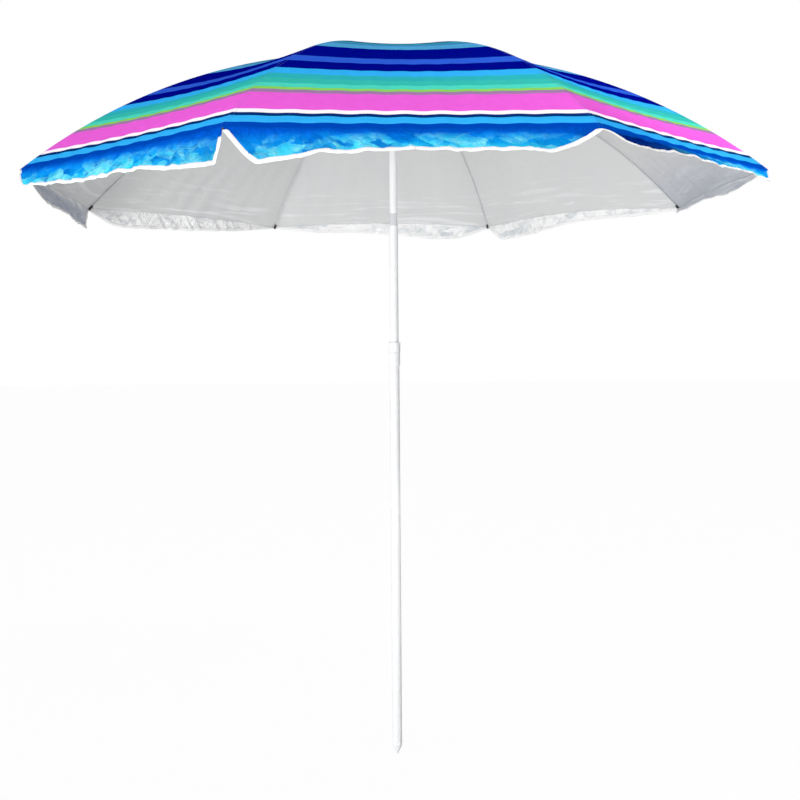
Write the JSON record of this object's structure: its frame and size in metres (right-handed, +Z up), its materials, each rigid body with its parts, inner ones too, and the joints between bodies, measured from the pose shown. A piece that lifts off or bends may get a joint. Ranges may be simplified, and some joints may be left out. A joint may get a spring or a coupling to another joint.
{
  "type": "beach umbrella",
  "caption": "Beach umbrella with a striped domed canopy and hanging edge flaps on folding wire ribs, a two-piece white pole with twist lock, tilt joint and ground point.",
  "frame": {"origin": "the point of the ground spike, on the pole axis", "axes": "+Z up along the pole; the front panel of the canopy faces -Y; +X to the right seen from the front"},
  "size_m": [1.8017, 1.7998, 1.8441],
  "materials": {
    "pole_white": "smooth white paint",
    "plastic_white": "moulded white plastic",
    "plastic_dark": "moulded dark plastic",
    "tilt_metal": "cast grey metal",
    "wire_steel": "plated steel wire",
    "canopy_cloth": "woven polyester with printed stripes outside and a silver coat inside"
  },
  "bodies": {
    "lower_pole": {"lower_tube": "pole_white", "ground_spike": "plastic_white", "pole_collar": "plastic_white", "lock_collet": "plastic_dark"},
    "lock": {"lock_ring": "plastic_white"},
    "upper_pole": {"upper_tube": "pole_white", "pole_guide": "plastic_dark", "tilt_fork": "tilt_metal", "tilt_pin": "tilt_metal"},
    "head": {"tilt_tongue": "tilt_metal", "stem_tube": "pole_white", "hub": "plastic_white", "hub_ring": "wire_steel", "crown_patch": "canopy_cloth", "top_cap": "plastic_white"},
    "catch": {"runner_catch": "wire_steel"},
    "slider": {"runner": "plastic_white", "runner_ring": "wire_steel"},
    "rib_arm_1": {"rib_1": "wire_steel", "rib_clip_1": "plastic_dark", "rib_tip_1": "plastic_dark", "canopy_1": "canopy_cloth"},
    "strut_arm_1": {"strut_1": "wire_steel"},
    "rib_arm_2": {"rib_2": "wire_steel", "rib_clip_2": "plastic_dark", "rib_tip_2": "plastic_dark", "canopy_2": "canopy_cloth"},
    "strut_arm_2": {"strut_2": "wire_steel"},
    "rib_arm_3": {"rib_3": "wire_steel", "rib_clip_3": "plastic_dark", "rib_tip_3": "plastic_dark", "canopy_3": "canopy_cloth"},
    "strut_arm_3": {"strut_3": "wire_steel"},
    "rib_arm_4": {"rib_4": "wire_steel", "rib_clip_4": "plastic_dark", "rib_tip_4": "plastic_dark", "canopy_4": "canopy_cloth"},
    "strut_arm_4": {"strut_4": "wire_steel"},
    "rib_arm_5": {"rib_5": "wire_steel", "rib_clip_5": "plastic_dark", "rib_tip_5": "plastic_dark", "canopy_5": "canopy_cloth"},
    "strut_arm_5": {"strut_5": "wire_steel"},
    "rib_arm_6": {"rib_6": "wire_steel", "rib_clip_6": "plastic_dark", "rib_tip_6": "plastic_dark", "canopy_6": "canopy_cloth"},
    "strut_arm_6": {"strut_6": "wire_steel"},
    "rib_arm_7": {"rib_7": "wire_steel", "rib_clip_7": "plastic_dark", "rib_tip_7": "plastic_dark", "canopy_7": "canopy_cloth"},
    "strut_arm_7": {"strut_7": "wire_steel"},
    "rib_arm_8": {"rib_8": "wire_steel", "rib_clip_8": "plastic_dark", "rib_tip_8": "plastic_dark", "canopy_8": "canopy_cloth"},
    "strut_arm_8": {"strut_8": "wire_steel"}
  },
  "joints": [
    {"name": "lock_turn", "type": "hinge", "parent": "lower_pole", "child": "lock", "pos_m": [0, 0, 1.0671], "axis": [0, 0, 1], "range_deg": [0, 120]},
    {"name": "pole_height", "type": "slide", "parent": "lower_pole", "child": "upper_pole", "axis": [0, 0, 1], "range_m": [-0.25, 0.1]},
    {"name": "head_tilt", "type": "hinge", "parent": "upper_pole", "child": "head", "pos_m": [0, 0, 1.394], "axis": [0, 1, 0], "range_deg": [0, 35]},
    {"name": "catch_press", "type": "hinge", "parent": "head", "child": "catch", "pos_m": [0, -0.0072, 1.6064], "axis": [1, 0, 0], "range_deg": [-4.5, 0], "stiffness_Nm_per_rad": 1},
    {"name": "runner_slide", "type": "slide", "parent": "head", "child": "slider", "axis": [0, 0, 1], "range_m": [-0.2329, 0], "deforming": ["runner_catch"]},
    {"name": "rib_fold_1", "type": "hinge", "parent": "head", "child": "rib_arm_1", "pos_m": [0.02032, 0.00842, 1.821], "axis": [-0.3827, 0.9239, 0], "range_deg": [0, 65], "deforming": ["canopy_1"]},
    {"name": "rib_fold_2", "type": "hinge", "parent": "head", "child": "rib_arm_2", "pos_m": [0.00842, 0.02032, 1.821], "axis": [-0.9239, 0.3827, 0], "range_deg": [0, 65], "deforming": ["canopy_2"]},
    {"name": "rib_fold_3", "type": "hinge", "parent": "head", "child": "rib_arm_3", "pos_m": [-0.00842, 0.02032, 1.821], "axis": [-0.9239, -0.3827, 0], "range_deg": [0, 65], "deforming": ["canopy_3"]},
    {"name": "rib_fold_4", "type": "hinge", "parent": "head", "child": "rib_arm_4", "pos_m": [-0.02032, 0.00842, 1.821], "axis": [-0.3827, -0.9239, 0], "range_deg": [0, 65], "deforming": ["canopy_4"]},
    {"name": "rib_fold_5", "type": "hinge", "parent": "head", "child": "rib_arm_5", "pos_m": [-0.02032, -0.00842, 1.821], "axis": [0.3827, -0.9239, 0], "range_deg": [0, 65], "deforming": ["canopy_5"]},
    {"name": "rib_fold_6", "type": "hinge", "parent": "head", "child": "rib_arm_6", "pos_m": [-0.00842, -0.02032, 1.821], "axis": [0.9239, -0.3827, 0], "range_deg": [0, 65], "deforming": ["canopy_6"]},
    {"name": "rib_fold_7", "type": "hinge", "parent": "head", "child": "rib_arm_7", "pos_m": [0.00842, -0.02032, 1.821], "axis": [0.9239, 0.3827, 0], "range_deg": [0, 65], "deforming": ["canopy_7"]},
    {"name": "rib_fold_8", "type": "hinge", "parent": "head", "child": "rib_arm_8", "pos_m": [0.02032, -0.00842, 1.821], "axis": [0.3827, 0.9239, 0], "range_deg": [0, 65], "deforming": ["canopy_8"]},
    {"name": "strut_fold_1", "type": "hinge", "parent": "slider", "child": "strut_arm_1", "pos_m": [0.02032, 0.00842, 1.691], "axis": [-0.3827, 0.9239, 0], "range_deg": [-46.8, 0]},
    {"name": "strut_fold_2", "type": "hinge", "parent": "slider", "child": "strut_arm_2", "pos_m": [0.00842, 0.02032, 1.691], "axis": [-0.9239, 0.3827, 0], "range_deg": [-46.8, 0]},
    {"name": "strut_fold_3", "type": "hinge", "parent": "slider", "child": "strut_arm_3", "pos_m": [-0.00842, 0.02032, 1.691], "axis": [-0.9239, -0.3827, 0], "range_deg": [-46.8, 0]},
    {"name": "strut_fold_4", "type": "hinge", "parent": "slider", "child": "strut_arm_4", "pos_m": [-0.02032, 0.00842, 1.691], "axis": [-0.3827, -0.9239, 0], "range_deg": [-46.8, 0]},
    {"name": "strut_fold_5", "type": "hinge", "parent": "slider", "child": "strut_arm_5", "pos_m": [-0.02032, -0.00842, 1.691], "axis": [0.3827, -0.9239, 0], "range_deg": [-46.8, 0]},
    {"name": "strut_fold_6", "type": "hinge", "parent": "slider", "child": "strut_arm_6", "pos_m": [-0.00842, -0.02032, 1.691], "axis": [0.9239, -0.3827, 0], "range_deg": [-46.8, 0]},
    {"name": "strut_fold_7", "type": "hinge", "parent": "slider", "child": "strut_arm_7", "pos_m": [0.00842, -0.02032, 1.691], "axis": [0.9239, 0.3827, 0], "range_deg": [-46.8, 0]},
    {"name": "strut_fold_8", "type": "hinge", "parent": "slider", "child": "strut_arm_8", "pos_m": [0.02032, -0.00842, 1.691], "axis": [0.3827, 0.9239, 0], "range_deg": [-46.8, 0]}
  ],
  "couplings": [
    {"joint": "rib_fold_1", "follows": "runner_slide", "rad_per_m": -4.871},
    {"joint": "rib_fold_2", "follows": "runner_slide", "rad_per_m": -4.871},
    {"joint": "rib_fold_3", "follows": "runner_slide", "rad_per_m": -4.871},
    {"joint": "rib_fold_4", "follows": "runner_slide", "rad_per_m": -4.871},
    {"joint": "rib_fold_5", "follows": "runner_slide", "rad_per_m": -4.871},
    {"joint": "rib_fold_6", "follows": "runner_slide", "rad_per_m": -4.871},
    {"joint": "rib_fold_7", "follows": "runner_slide", "rad_per_m": -4.871},
    {"joint": "rib_fold_8", "follows": "runner_slide", "rad_per_m": -4.871},
    {"joint": "strut_fold_1", "follows": "runner_slide", "rad_per_m": 3.507},
    {"joint": "strut_fold_2", "follows": "runner_slide", "rad_per_m": 3.507},
    {"joint": "strut_fold_3", "follows": "runner_slide", "rad_per_m": 3.507},
    {"joint": "strut_fold_4", "follows": "runner_slide", "rad_per_m": 3.507},
    {"joint": "strut_fold_5", "follows": "runner_slide", "rad_per_m": 3.507},
    {"joint": "strut_fold_6", "follows": "runner_slide", "rad_per_m": 3.507},
    {"joint": "strut_fold_7", "follows": "runner_slide", "rad_per_m": 3.507},
    {"joint": "strut_fold_8", "follows": "runner_slide", "rad_per_m": 3.507}
  ]
}
